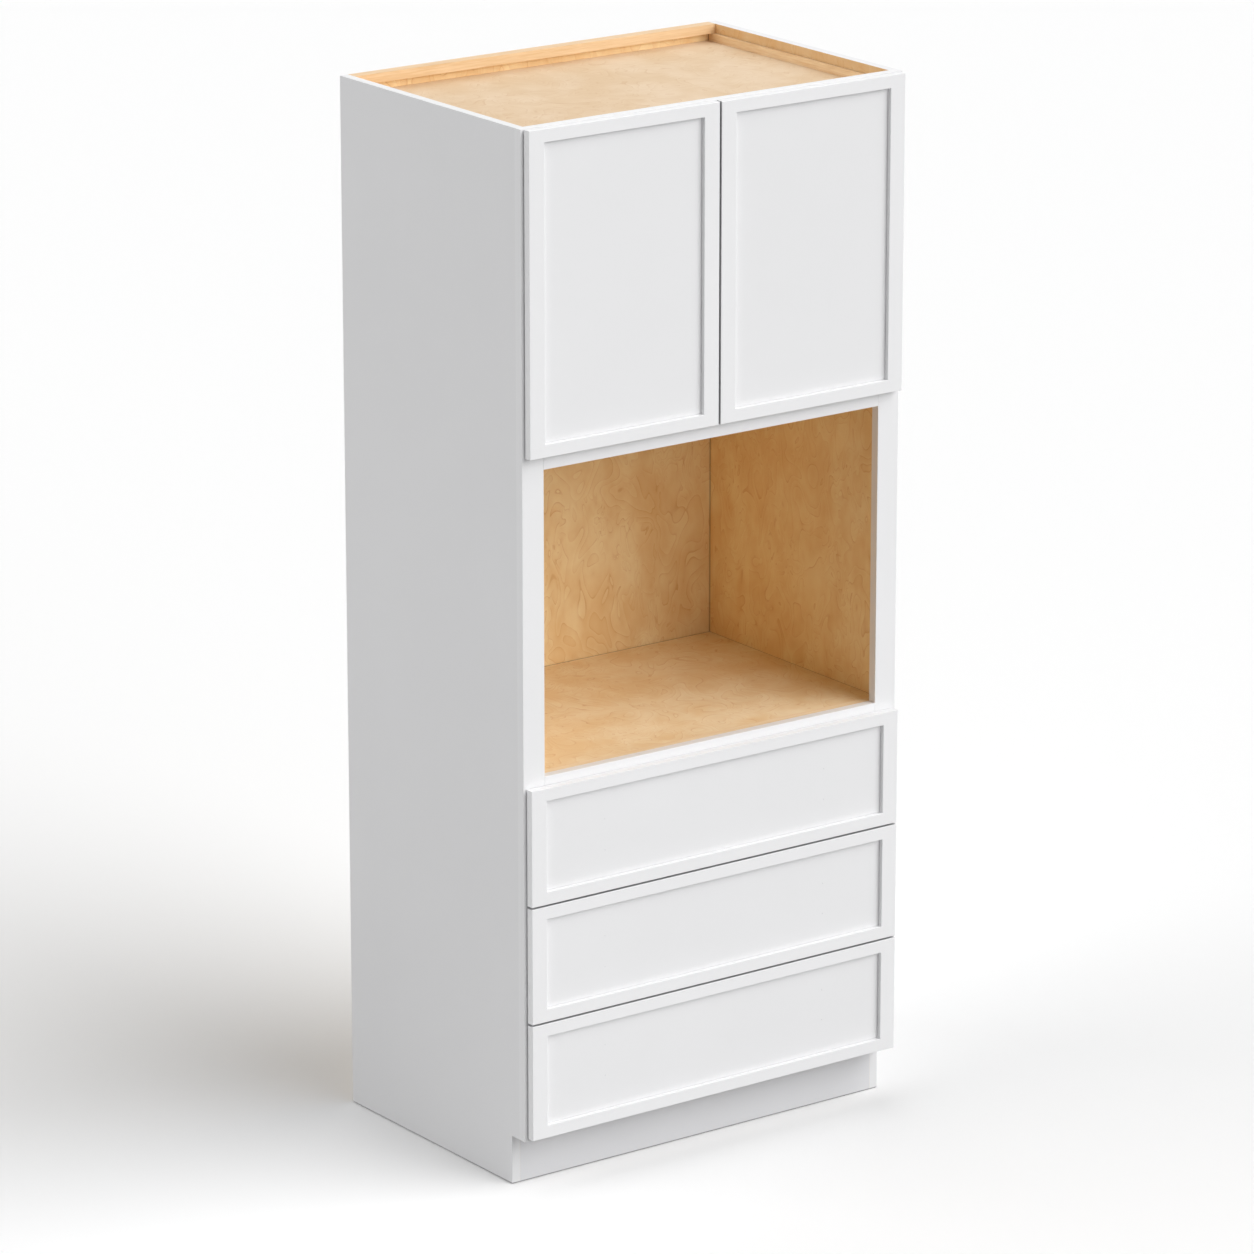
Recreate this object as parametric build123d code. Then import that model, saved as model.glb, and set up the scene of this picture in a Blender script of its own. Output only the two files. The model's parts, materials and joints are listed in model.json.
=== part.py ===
from build123d import *
import os

# Oven cabinet: a tall framed cabinet with two doors, an open oven space and three drawers.
# Millimetres. X is the width, Y the depth with the fronts towards -Y, Z is up from the floor.
# The origin is on the floor, in the middle of the whole cabinet with its doors shut.

# Overall sizes of the cabinet without its doors and drawer fronts
cabinet_width = 914.4
cabinet_height = 2133.6
cabinet_depth = 609.6

# Boards of the carcass
side_thickness = 19.05
back_thickness = 12.7
panel_thickness = 12.7
platform_thickness = 19.05
shelf_thickness = 19.05
edge_band_thickness = 1.0
platform_lipping = 18.0

# Face frame
frame_thickness = 19.05
stile_width = 50.8
top_rail_height = 50.8
oven_rail_height = 50.8
drawer_rail_height = 38.1
bottom_rail_height = 38.1
frame_easing = 0.8
frame_joint_line = 0.35

# Plinth
toe_height = 101.6
toe_recess = 44.45
toe_board_thickness = 19.05
foot_easing = 2.0

# Recessed top with its rail and cleats
hanging_rail_height = 19.05
hanging_rail_depth = 25.4
top_cleat_height = 15.9
top_cleat_thickness = 9.5

# Doors and drawer fronts, which are framed alike
front_thickness = 16.0
front_gap = 2.5
front_reveal = 6.35
door_top_reveal = 0.8
front_stile_width = 36.0
front_rail_width = 26.0
front_recess = 9.0
front_panel_thickness = 5.0
front_edge_radius = 1.0
groove_depth = 7.0
groove_clearance = 0.3
door_gap = 4.8
door_overlap = 21.5
door_opening_angle = 105.0

# Heights of the drawers and of the oven space
drawer_names = ["bottom", "middle", "top"]
drawer_front_height = 238.0
drawer_front_gap = 4.0
oven_rail_show = 17.78
oven_opening_height = 615.95

# Drawer boxes
box_clearance = 5.0
box_wall = 16.0
box_height = 152.4
box_rear_clearance = 66.0
box_lift = 16.0
box_bottom_thickness = 6.35
box_bottom_rise = 12.7
box_groove = 6.5
box_edge_radius = 2.0
dovetail_count = 5
dovetail_base = 15.0
dovetail_flare = 2.5

# Undermount slides, in three members that nest in each other
slide_sheet = 1.5
slide_clearance = 0.3
slide_drop = 14.0
slide_flange_height = 26.0
slide_guide_offset = 23.0
slide_channel_width = 18.0
slide_channel_height = 10.0
slide_middle_height = 10.7
slide_setback = 1.0
slide_rear_clearance = 43.85
slide_middle_setback = 2.5
slide_middle_rear_clearance = 75.35
slide_drawer_rear_clearance = 21.4
strip_height = 60.0
slide_screw_height = 18.0
slide_screw_inset = 28.0
slide_screw_count = 3

# Concealed hinges
cup_radius = 12.7
cup_depth = 13.0
cup_wall = 0.5
cup_tab = 2.5
flange_thickness = 1.0
flange_width = 21.0
flange_length = 46.0
dowel_radius = 4.0
dowel_depth = 10.0
dowel_spacing = 34.0
pin_inset = 6.25
pin_depth = 9.0
pin_radius = 1.2
pin_clearance = 0.05
pin_length = 15.2
lug_clearance = 0.3
eye_radius = 2.2
arm_width = 8.0
arm_thickness = 1.5
arm_reach = 11.5
arm_plate_thickness = 1.5
arm_plate_width = 20.0
wing_height = 50.0
wing_depth = 17.0
wing_screw_spacing = 34.0
hinge_inset = 90.0

# Screws
screw_radius = 2.0
screw_length = 14.0
screw_head_radius = 3.5
screw_head_height = 1.2

# Shelf, pins, cleats, blocks and bumpers
shelf_height = 1792.0
shelf_side_gap = 1.5
shelf_setback = 12.0
pin_hole_radius = 2.5
pin_hole_depth = 10.0
pin_hole_pitch = 32.0
pin_hole_rows = 5
shelf_pin_reach = 8.0
shelf_pin_inset = 45.0
cleat_height = 38.1
cleat_thickness = 19.05
block_size = 60.0
block_bevel = 45.0
bumper_radius = 4.0
bumper_inset = 14.0
bumper_clearance = 0.3

# Planes that the pieces share
overall_depth = cabinet_depth + front_gap + front_thickness
front_face = -overall_depth / 2
front_back = front_face + front_thickness
frame_front = front_back + front_gap
frame_back = frame_front + frame_thickness
rear_face = overall_depth / 2
back_face = rear_face - back_thickness
side_outer = cabinet_width / 2
side_inner = side_outer - side_thickness
opening_edge = side_outer - stile_width
front_edge = side_outer - front_reveal
toe_face = frame_front + toe_recess
box_rear = back_face - box_rear_clearance
slide_start = frame_back + slide_setback
slide_end = back_face - slide_rear_clearance

# Heights that the pieces share
bottom_rail_top = toe_height + bottom_rail_height
bottom_panel_under = bottom_rail_top - panel_thickness
fronts_bottom = toe_height + front_reveal
drawer_pitch = drawer_front_height + drawer_front_gap
drawers_top = fronts_bottom + len(drawer_names) * drawer_pitch - drawer_front_gap
platform_top = drawers_top + oven_rail_show
platform_under = platform_top - platform_thickness
lower_oven_rail_bottom = platform_top - oven_rail_height
oven_top = platform_top + oven_opening_height
upper_rail_top = oven_top + oven_rail_height
door_bottom = upper_rail_top - door_overlap
door_top = cabinet_height - door_top_reveal
top_rail_bottom = cabinet_height - top_rail_height
hanging_rail_bottom = cabinet_height - hanging_rail_height
top_panel_top = hanging_rail_bottom - top_cleat_height


def board(x0, x1, y0, y1, z0, z1):
    """A square-cut board between two corners."""
    size = Box(x1 - x0, y1 - y0, z1 - z0)
    return Pos((x0 + x1) / 2, (y0 + y1) / 2, (z0 + z1) / 2) * size


def rod(x, y, z, radius, length, axis):
    """A round rod that starts at a point and runs along an axis."""
    plane = Plane(origin=(x, y, z), z_dir=axis)
    return extrude(plane * Circle(radius), length)


def mirrored(shape):
    """The same piece on the other side of the cabinet."""
    return mirror(shape, about=Plane.YZ)


def both_sides(pieces):
    """Every piece of a list, with its mirror image on the right."""
    return Compound(pieces + [mirrored(piece) for piece in pieces])


def eased_front(piece, radius):
    """A piece whose front arrises are rounded a little, as paint and sanding leave them."""
    front = piece.faces().sort_by(Axis.Y)[0]
    return fillet(front.edges(), radius)


def screw(x, y, z, axis):
    """A pan-head screw: the point is where its head meets the surface, the axis points out."""
    head = rod(x, y, z, screw_head_radius, screw_head_height, axis)
    shank = rod(x, y, z, screw_radius, screw_length, [-part for part in axis])
    return head + shank


def screw_hole(x, y, z, axis):
    """The hole that a screw's shank fills."""
    return rod(x, y, z, screw_radius, screw_length, [-part for part in axis])


def drawer_rail_bottoms():
    """Bottom height of each rail between two drawers, which stands behind the gap of their fronts."""
    gaps = [fronts_bottom + n * drawer_pitch - drawer_front_gap / 2 for n in range(1, len(drawer_names))]
    return [gap - drawer_rail_height / 2 for gap in gaps]


def drawer_floors():
    """Bottom height of each drawer's opening in the face frame, from below."""
    return [bottom_rail_top] + [bottom + drawer_rail_height for bottom in drawer_rail_bottoms()]


def hinge_heights():
    """The two heights of each door's hinges."""
    return [door_bottom + hinge_inset, door_top - hinge_inset]


def slide_screw_points(floor):
    """Where the screws go through one slide's flange into its mounting strip, on the left."""
    face = -opening_edge + slide_sheet
    height = floor + box_lift - slide_drop + slide_screw_height
    first = slide_start + slide_screw_inset
    step = (slide_end - slide_screw_inset - first) / (slide_screw_count - 1)
    return [(face, first + n * step, height) for n in range(slide_screw_count)]


def wing_screw_points():
    """Where the screws go through the hinge wings into the left stile's inner edge."""
    face = -opening_edge + arm_plate_thickness
    middle = frame_front + frame_thickness / 2
    half = wing_screw_spacing / 2
    return [(face, middle, height + side * half) for height in hinge_heights() for side in (-1, 1)]


def shelf_pin_places():
    """Depth of the two columns of shelf pin holes, and the heights of the holes."""
    columns = [frame_back + shelf_pin_inset, back_face - shelf_pin_inset]
    middle = (pin_hole_rows - 1) / 2
    pin_height = shelf_height - pin_hole_radius
    heights = [pin_height + (row - middle) * pin_hole_pitch for row in range(pin_hole_rows)]
    return columns, heights


def left_side_panel():
    """The left side, notched for the toe space, eased round its foot and drilled for shelf pins."""
    panel = board(-side_outer, -side_inner, frame_back, rear_face, 0, cabinet_height)
    notch = board(-side_outer, -side_inner, frame_back, toe_face, 0, toe_height)
    panel = panel - notch
    foot = panel.faces().sort_by(Axis.Z)[0]
    panel = chamfer(foot.edges(), foot_easing)
    columns, heights = shelf_pin_places()
    for depth in columns:
        for height in heights:
            panel = panel - rod(-side_inner, depth, height, pin_hole_radius, pin_hole_depth, (-1, 0, 0))
    return panel


def left_stile():
    """The left upright of the face frame, with the hinge screws' holes in its inner edge."""
    stile = board(-side_outer, -opening_edge, frame_front, frame_back, toe_height, cabinet_height)
    outer_arris = stile.edges().filter_by(Axis.Z).group_by(Axis.Y)[0]
    stile = fillet(outer_arris, frame_easing)
    for point in wing_screw_points():
        stile = stile - screw_hole(*point, (1, 0, 0))
    return stile


def frame_rail(bottom, top):
    """A rail of the face frame between the two stiles."""
    rail = board(-opening_edge, opening_edge, frame_front, frame_back, bottom, top)
    end_arrises = rail.edges().filter_by(Axis.Z).group_by(Axis.Y)[0]
    rail = chamfer(end_arrises, frame_joint_line)
    long_arrises = rail.edges().filter_by(Axis.X).group_by(Axis.Y)[0]
    return fillet(long_arrises, frame_easing)


def inner_board(y0, y1, z0, z1):
    """A board that fills the width between the side panels."""
    return board(-side_inner, side_inner, y0, y1, z0, z1)


def carcass():
    """Sides, back, floors, plinth and the recessed top."""
    left = left_side_panel()
    cleat = board(-side_inner, -side_inner + top_cleat_thickness, frame_back, back_face,
                  top_panel_top, hanging_rail_bottom)
    toe_board = inner_board(toe_face, toe_face + toe_board_thickness, 0, bottom_panel_under)
    toe_foot = toe_board.edges().filter_by(Axis.X).group_by(Axis.Z)[0]
    return {
        "left_side_panel": left,
        "right_side_panel": mirrored(left),
        "back_panel": inner_board(back_face, rear_face, 0, hanging_rail_bottom),
        "top_panel": inner_board(frame_back, back_face, top_panel_top - panel_thickness, top_panel_top),
        "top_hanging_rail": inner_board(rear_face - hanging_rail_depth, rear_face,
                                        hanging_rail_bottom, cabinet_height),
        "top_cleats": both_sides([cleat]),
        "upper_compartment_floor": inner_board(frame_back, back_face,
                                               upper_rail_top - panel_thickness, upper_rail_top),
        "oven_platform": inner_board(frame_back + platform_lipping, back_face,
                                     platform_under, platform_top),
        "bottom_panel": inner_board(frame_back, back_face, bottom_panel_under, bottom_rail_top),
        "toe_kick_board": chamfer(toe_foot, foot_easing),
    }


def face_frame():
    """Two stiles and the six rails between them."""
    left = left_stile()
    lower_bottom, upper_bottom = drawer_rail_bottoms()
    return {
        "left_stile": left,
        "right_stile": mirrored(left),
        "top_rail": frame_rail(top_rail_bottom, cabinet_height),
        "upper_oven_rail": frame_rail(oven_top, upper_rail_top),
        "lower_oven_rail": frame_rail(lower_oven_rail_bottom, platform_top),
        "upper_drawer_rail": frame_rail(upper_bottom, upper_bottom + drawer_rail_height),
        "lower_drawer_rail": frame_rail(lower_bottom, lower_bottom + drawer_rail_height),
        "bottom_rail": frame_rail(toe_height, bottom_rail_top),
    }


def mounting_strips():
    """Strips on the sides that bring the slides flush with the frame's openings."""
    strips = []
    for floor in drawer_floors():
        bottom = floor + box_lift - slide_drop
        strip = board(-side_inner, -opening_edge, frame_back, back_face, bottom, bottom + strip_height)
        for point in slide_screw_points(floor):
            strip = strip - screw_hole(*point, (1, 0, 0))
        strips += [strip, mirrored(strip)]
    return Compound(strips)


def platform_cleats():
    """Cleats under the oven platform, which carry the oven's weight into the sides and back."""
    bottom = platform_under - cleat_height
    side = board(-side_inner, -side_inner + cleat_thickness, frame_back, back_face, bottom, platform_under)
    back_end = side_inner - cleat_thickness
    back = board(-back_end, back_end, back_face - cleat_thickness, back_face, bottom, platform_under)
    return Compound([side, mirrored(side), back])


def glue_blocks():
    """Blocks in the plinth's corners, under the bottom panel."""
    blocks = []
    front_corner = toe_face + toe_board_thickness
    for y0, y1 in ((front_corner, front_corner + block_size), (back_face - block_size, back_face)):
        block = board(-side_inner, -side_inner + block_size, y0, y1,
                      bottom_panel_under - block_size, bottom_panel_under)
        inner_edges = block.edges().filter_by(Axis.Z).sort_by(Axis.X)[-2:].sort_by(Axis.Y)
        free_edge = inner_edges[-1] if y0 == front_corner else inner_edges[0]
        block = chamfer(free_edge, block_bevel)
        blocks += [block, mirrored(block)]
    return Compound(blocks)


def shelf_and_pins():
    """The adjustable shelf on its four pins, its edge band, and the lipping of the oven platform."""
    reach = side_inner - shelf_side_gap
    shelf_front = frame_back + shelf_setback
    shelf = board(-reach, reach, shelf_front + edge_band_thickness, back_face - shelf_setback,
                  shelf_height, shelf_height + shelf_thickness)
    shelf_band = board(-reach, reach, shelf_front, shelf_front + edge_band_thickness,
                       shelf_height, shelf_height + shelf_thickness)
    lipping = inner_board(frame_back, frame_back + platform_lipping, platform_under, platform_top)
    columns, heights = shelf_pin_places()
    pins = []
    for depth in columns:
        pin_height = shelf_height - pin_hole_radius
        pin = rod(-side_inner - pin_hole_depth, depth, pin_height, pin_hole_radius,
                  pin_hole_depth + shelf_pin_reach, (1, 0, 0))
        pins += [pin, mirrored(pin)]
    return {
        "adjustable_shelf": shelf,
        "edge_bands": Compound([lipping, shelf_band]),
        "shelf_pins": Compound(pins),
    }


def front_ring(x0, x1, z0, z1):
    """The frame of a door or drawer front as one ring, eased and grooved for its panel."""
    outer = board(x0, x1, front_face, front_back, z0, z1)
    inner_x0 = x0 + front_stile_width
    inner_x1 = x1 - front_stile_width
    inner_z0 = z0 + front_rail_width
    inner_z1 = z1 - front_rail_width
    ring = outer - board(inner_x0, inner_x1, front_face, front_back, inner_z0, inner_z1)
    ring = eased_front(ring, front_edge_radius)
    groove_front = front_face + front_recess
    groove = board(inner_x0 - groove_depth, inner_x1 + groove_depth,
                   groove_front, groove_front + front_panel_thickness,
                   inner_z0 - groove_depth, inner_z1 + groove_depth)
    return ring - groove


def front_stiles(ring, x0, x1, z0, z1):
    """The two uprights cut from the ring."""
    left = ring & board(x0, x0 + front_stile_width, front_face, front_back, z0, z1)
    right = ring & board(x1 - front_stile_width, x1, front_face, front_back, z0, z1)
    return left, right


def front_rails(ring, x0, x1, z0, z1):
    """The two rails cut from the ring, between the uprights."""
    inner = (x0 + front_stile_width, x1 - front_stile_width)
    lower = ring & board(*inner, front_face, front_back, z0, z0 + front_rail_width)
    upper = ring & board(*inner, front_face, front_back, z1 - front_rail_width, z1)
    return lower, upper


def front_panel(x0, x1, z0, z1):
    """The flat panel held in the groove."""
    spread = groove_depth - groove_clearance
    panel_front = front_face + front_recess
    return board(x0 + front_stile_width - spread, x1 - front_stile_width + spread,
                 panel_front, panel_front + front_panel_thickness,
                 z0 + front_rail_width - spread, z1 - front_rail_width + spread)


def hinge_cup(height):
    """A cup with its flange and two dowels, let into the back of the left door's stile."""
    centre_x = -front_edge + cup_tab + cup_radius
    cup = rod(centre_x, front_back, height, cup_radius, cup_depth, (0, -1, 0))
    flange = board(centre_x - cup_radius, centre_x - cup_radius + flange_width,
                   front_back - flange_thickness, front_back,
                   height - flange_length / 2, height + flange_length / 2)
    body = cup + flange
    for side in (-1, 1):
        body = body + rod(centre_x, front_back, height + side * dowel_spacing / 2,
                          dowel_radius, dowel_depth, (0, -1, 0))
    return body


def hinge_pin(height):
    """The pivot pin across the cup."""
    return rod(-front_edge + pin_inset, front_back - pin_depth, height - pin_length / 2,
               pin_radius, pin_length, (0, 0, 1))


def hinge_cup_hollow(height):
    """The inside of the cup, where the arm's eye turns between two lugs that hold the pin."""
    centre_x = -front_edge + cup_tab + cup_radius
    hollow = rod(centre_x, front_back, height, cup_radius - cup_wall, cup_depth - cup_wall, (0, -1, 0))
    pin_x = -front_edge + pin_inset
    pin_y = front_back - pin_depth
    for side in (-1, 1):
        near, far = sorted((side * (arm_width / 2 + lug_clearance), side * cup_radius))
        hollow = hollow - board(pin_x - cup_radius, pin_x + eye_radius, pin_y - eye_radius,
                                pin_y + eye_radius, height + near, height + far)
    return hollow


def hinge_arm(height):
    """The steel arm: an eye round the pin, a crank out of the cup and a wing on the stile."""
    pin_x = -front_edge + pin_inset
    pin_y = front_back - pin_depth
    half = arm_width / 2
    eye = rod(pin_x, pin_y, height - half, eye_radius, arm_width, (0, 0, 1))
    low = pin_y - eye_radius
    crank_x = pin_x + arm_reach
    plate_back = frame_front - (front_gap - arm_plate_thickness) / 2
    plate_front = plate_back - arm_plate_thickness
    bar = board(pin_x, crank_x, low, low + arm_thickness, height - half, height + half)
    riser = board(crank_x, crank_x + arm_thickness, low, plate_back, height - half, height + half)
    wing_x = -opening_edge
    plate = board(crank_x, wing_x + arm_plate_thickness, plate_front, plate_back,
                  height - arm_plate_width / 2, height + arm_plate_width / 2)
    wing = board(wing_x, wing_x + arm_plate_thickness, plate_front, frame_front + wing_depth,
                 height - wing_height / 2, height + wing_height / 2)
    arm = eye + bar + riser + plate + wing
    bore = rod(pin_x, pin_y, height - half, pin_radius + pin_clearance, arm_width, (0, 0, 1))
    return arm - bore


def left_door():
    """The left door's pieces."""
    x0, x1 = -front_edge, -door_gap / 2
    ring = front_ring(x0, x1, door_bottom, door_top)
    outer_stile, inner_stile = front_stiles(ring, x0, x1, door_bottom, door_top)
    cups = []
    pins = []
    for height in hinge_heights():
        body = hinge_cup(height)
        outer_stile = outer_stile - body
        pin = hinge_pin(height)
        cups.append(body - hinge_cup_hollow(height) - pin)
        pins.append(pin)
    bumper_thickness = front_gap - bumper_clearance
    bumpers = [rod(x1 - bumper_inset, front_back, height, bumper_radius, bumper_thickness, (0, 1, 0))
               for height in (door_bottom + bumper_inset, door_top - bumper_inset)]
    return {
        "door_stiles": Compound([outer_stile, inner_stile]),
        "door_rails": Compound(list(front_rails(ring, x0, x1, door_bottom, door_top))),
        "door_panel": front_panel(x0, x1, door_bottom, door_top),
        "hinge_cups": Compound(cups),
        "hinge_pins": Compound(pins),
        "door_bumpers": Compound(bumpers),
    }


def hinge_arms():
    """The arms of both doors' hinges, with the holes for their screws."""
    arms = [hinge_arm(height) for height in hinge_heights()]
    for point in wing_screw_points():
        arms = [arm - screw_hole(*point, (1, 0, 0)) for arm in arms]
    return both_sides(arms)


def fixed_slide(floor):
    """The slide member on the left that is screwed to the mounting strip."""
    start = slide_start
    end = slide_end
    bottom = floor + box_lift - slide_drop
    face = -opening_edge
    inner = face + slide_guide_offset
    far = inner + 2 * slide_sheet + slide_channel_width
    web = board(face, far, start, end, bottom, bottom + slide_sheet)
    flange = board(face, face + slide_sheet, start, end, bottom, bottom + slide_flange_height)
    guide = board(inner, inner + slide_sheet, start, end, bottom, bottom + slide_channel_height)
    lip = board(far - slide_sheet, far, start, end, bottom, bottom + slide_channel_height)
    member = web + flange + guide + lip
    for point in slide_screw_points(floor):
        member = member - screw_hole(*point, (1, 0, 0))
    return member


def middle_slide(floor):
    """The trough-shaped slide member that runs in the fixed one, on the left."""
    start = frame_back + slide_middle_setback
    end = back_face - slide_middle_rear_clearance
    bottom = floor + box_lift - slide_drop + slide_sheet + slide_clearance
    near = -opening_edge + slide_guide_offset + slide_sheet + slide_clearance
    far = near + slide_channel_width - 2 * slide_clearance
    web = board(near, far, start, end, bottom, bottom + slide_sheet)
    near_wall = board(near, near + slide_sheet, start, end, bottom, bottom + slide_middle_height)
    far_wall = board(far - slide_sheet, far, start, end, bottom, bottom + slide_middle_height)
    return web + near_wall + far_wall


def drawer_slide(floor):
    """The slide member under the drawer's bottom, which runs in the middle one, on the left."""
    start = front_back + box_wall
    end = box_rear - box_wall - slide_drawer_rear_clearance
    bottom = floor + box_lift - slide_drop + 2 * (slide_sheet + slide_clearance)
    top = floor + box_lift + box_bottom_rise
    near = -opening_edge + slide_guide_offset + 2 * (slide_sheet + slide_clearance)
    far = near + slide_channel_width - 2 * (slide_sheet + 2 * slide_clearance)
    near_wall = board(near, near + slide_sheet, start, end, bottom, top)
    far_wall = board(far - slide_sheet, far, start, end, bottom, top)
    head = board(near, far, start, end, top - slide_sheet, top)
    return near_wall + far_wall + head


def dovetails(bottom, root, direction):
    """The tails on one end of a drawer's left side, from their root along Y."""
    pitch = box_height / dovetail_count
    narrow = dovetail_base / 2
    wide = narrow + dovetail_flare
    tip = root + direction * box_wall
    outer_face = Plane(origin=(-opening_edge + box_clearance, 0, 0), x_dir=(0, 1, 0), z_dir=(1, 0, 0))
    tails = []
    for n in range(dovetail_count):
        middle = bottom + (n + 0.5) * pitch
        outline = Polygon((root, middle - narrow), (tip, middle - wide), (tip, middle + wide),
                          (root, middle + narrow), align=None)
        tails.append(extrude(outer_face * outline, box_wall, dir=(1, 0, 0)))
    return tails


def eased_top(wall, axis):
    """A drawer wall whose two long top edges are rounded."""
    return fillet(wall.edges().filter_by(axis).group_by(Axis.Z)[-1], box_edge_radius)


def drawer_box(floor):
    """Four dovetailed walls and the bottom that is let into them."""
    outer = opening_edge - box_clearance
    inner = outer - box_wall
    bottom = floor + box_lift
    top = bottom + box_height
    front_root = front_back + box_wall
    rear_root = box_rear - box_wall
    panel_bottom = bottom + box_bottom_rise
    panel = board(-inner - box_groove, inner + box_groove, front_root - box_groove,
                  rear_root + box_groove, panel_bottom, panel_bottom + box_bottom_thickness)
    side = eased_top(board(-outer, -inner, front_root, rear_root, bottom, top), Axis.Y)
    front_wall = eased_top(board(-outer, outer, front_back, front_root, bottom, top), Axis.X)
    rear_wall = eased_top(board(-outer, outer, rear_root, box_rear, bottom, top), Axis.X)
    for tail in dovetails(bottom, front_root, -1):
        side = side + tail
        front_wall = front_wall - tail - mirrored(tail)
    for tail in dovetails(bottom, rear_root, 1):
        side = side + tail
        rear_wall = rear_wall - tail - mirrored(tail)
    side = side - panel
    return Compound([side, mirrored(side), front_wall - panel, rear_wall - panel]), panel


def drawer(index):
    """One drawer's front, box and slide members."""
    floor = drawer_floors()[index]
    z0 = fronts_bottom + index * drawer_pitch
    z1 = z0 + drawer_front_height
    x0, x1 = -front_edge, front_edge
    ring = front_ring(x0, x1, z0, z1)
    members = list(front_stiles(ring, x0, x1, z0, z1)) + list(front_rails(ring, x0, x1, z0, z1))
    panel_front = front_face + front_recess
    backing = board(x0 + front_stile_width, x1 - front_stile_width, panel_front, front_back,
                    z0 + front_rail_width, z1 - front_rail_width)
    walls, bottom = drawer_box(floor)
    name = drawer_names[index]
    return {
        name + "_drawer_front_frame": Compound(members),
        name + "_drawer_front_panel": front_panel(x0, x1, z0, z1) + backing,
        name + "_drawer_box": walls,
        name + "_drawer_bottom": bottom,
        name + "_drawer_runners": both_sides([drawer_slide(floor)]),
        name + "_middle_runners": both_sides([middle_slide(floor)]),
        name + "_cabinet_runners": both_sides([fixed_slide(floor)]),
    }


def slide_screws():
    """All the screws that hold the cabinet members of the slides."""
    points = [point for floor in drawer_floors() for point in slide_screw_points(floor)]
    return both_sides([screw(*point, (1, 0, 0)) for point in points])


def hinge_screws():
    """All the screws that hold the hinge arms' wings."""
    return both_sides([screw(*point, (1, 0, 0)) for point in wing_screw_points()])


def build():
    """Every piece of the cabinet by its name."""
    pieces = {}
    pieces.update(carcass())
    pieces.update(face_frame())
    pieces["slide_mounting_strips"] = mounting_strips()
    pieces["platform_cleats"] = platform_cleats()
    pieces["plinth_glue_blocks"] = glue_blocks()
    pieces.update(shelf_and_pins())
    for name, shape in left_door().items():
        pieces["left_" + name] = shape
        pieces["right_" + name] = mirrored(shape)
    pieces["hinge_arms"] = hinge_arms()
    pieces["hinge_arm_screws"] = hinge_screws()
    for index in range(len(drawer_names)):
        pieces.update(drawer(index))
    pieces["slide_screws"] = slide_screws()
    return pieces


os.makedirs("parts", exist_ok=True)
for name, shape in build().items():
    export_step(shape, "parts/" + name + ".step")
pivot = (-front_edge + pin_inset, front_back - pin_depth)
print("left door pivot, x and y:", pivot)
print("drawer floors:", drawer_floors())
print("door hinge heights:", hinge_heights(), "opening angle:", door_opening_angle)
print("oven space from", platform_top, "to", oven_top)
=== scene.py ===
# %% [markdown]
# # Dressing a tall oven cabinet
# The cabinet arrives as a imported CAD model: sixty named nodes, already at their real sizes and places.
# Its boards, fronts and slides have the right shapes, so they stay, and this lesson gives them their
# finishes. The small fittings are plain rods in the CAD, so they are modelled again with more detail.

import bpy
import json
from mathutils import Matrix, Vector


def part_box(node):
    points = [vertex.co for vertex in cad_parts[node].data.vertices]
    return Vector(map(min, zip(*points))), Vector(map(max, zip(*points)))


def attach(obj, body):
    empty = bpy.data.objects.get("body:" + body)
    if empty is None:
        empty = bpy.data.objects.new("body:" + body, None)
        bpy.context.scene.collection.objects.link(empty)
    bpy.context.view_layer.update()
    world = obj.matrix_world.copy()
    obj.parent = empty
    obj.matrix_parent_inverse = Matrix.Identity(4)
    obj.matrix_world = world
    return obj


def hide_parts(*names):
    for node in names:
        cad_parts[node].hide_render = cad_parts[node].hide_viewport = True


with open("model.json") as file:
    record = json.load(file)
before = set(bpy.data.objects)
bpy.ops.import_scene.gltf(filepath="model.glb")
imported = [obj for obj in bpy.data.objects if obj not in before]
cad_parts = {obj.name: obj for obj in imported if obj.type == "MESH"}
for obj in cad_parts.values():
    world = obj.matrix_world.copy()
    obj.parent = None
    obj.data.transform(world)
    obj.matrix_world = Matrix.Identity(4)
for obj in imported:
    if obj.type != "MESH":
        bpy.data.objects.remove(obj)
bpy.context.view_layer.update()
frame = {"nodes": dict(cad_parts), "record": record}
nodes = frame["nodes"]

# %% [markdown]
# Blender works in metres, and joinery is measured in millimetres, so one value turns the second into
# the first. The planes that this lesson needs again and again are read from the CAD nodes themselves.
# A hair is how far past such a plane a point may lie and still count as on it.

# %% Units and planes
import json
import math

import bmesh
import bpy
from mathutils import Matrix, Vector

MM = 0.001
HAIR = 0.1 * MM
side_low, side_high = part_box("right_side_panel")
SIDE_INNER = side_low.x
REAR = side_high.y
TOP = side_high.z
DRAWERS = ["bottom", "middle", "top"]
FRONTS = ["left_door", "right_door"] + [drawer + "_drawer_front" for drawer in DRAWERS]
print("inner face of a side at", round(SIDE_INNER, 5), "top at", round(TOP, 4))

# %% [markdown]
# ## How a finish is written
# A finish is a small tree of nodes. Colours are given as sRGB hex values, and a shader wants
# linear light, so one function turns the first into the second. Another adds a node, sets it up and
# links it. Every pattern reads Object coordinates: each node's object sits at the origin, so they are
# simply metres in the room, and a pattern keeps its real size on every board. Three more functions
# answer what many finishes ask: is a value between two limits, how far is a point from the cabinet's
# middle, and what does a colour become where a mask lets a tint in.


# %% Colour and node helpers
def linear(hex_colour):
    """An sRGB hex colour as the linear RGBA that a shader takes."""
    parts = [int(hex_colour[i:i + 2], 16) / 255 for i in (1, 3, 5)]
    return [p / 12.92 if p <= 0.04045 else ((p + 0.055) / 1.055) ** 2.4 for p in parts] + [1.0]


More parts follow.
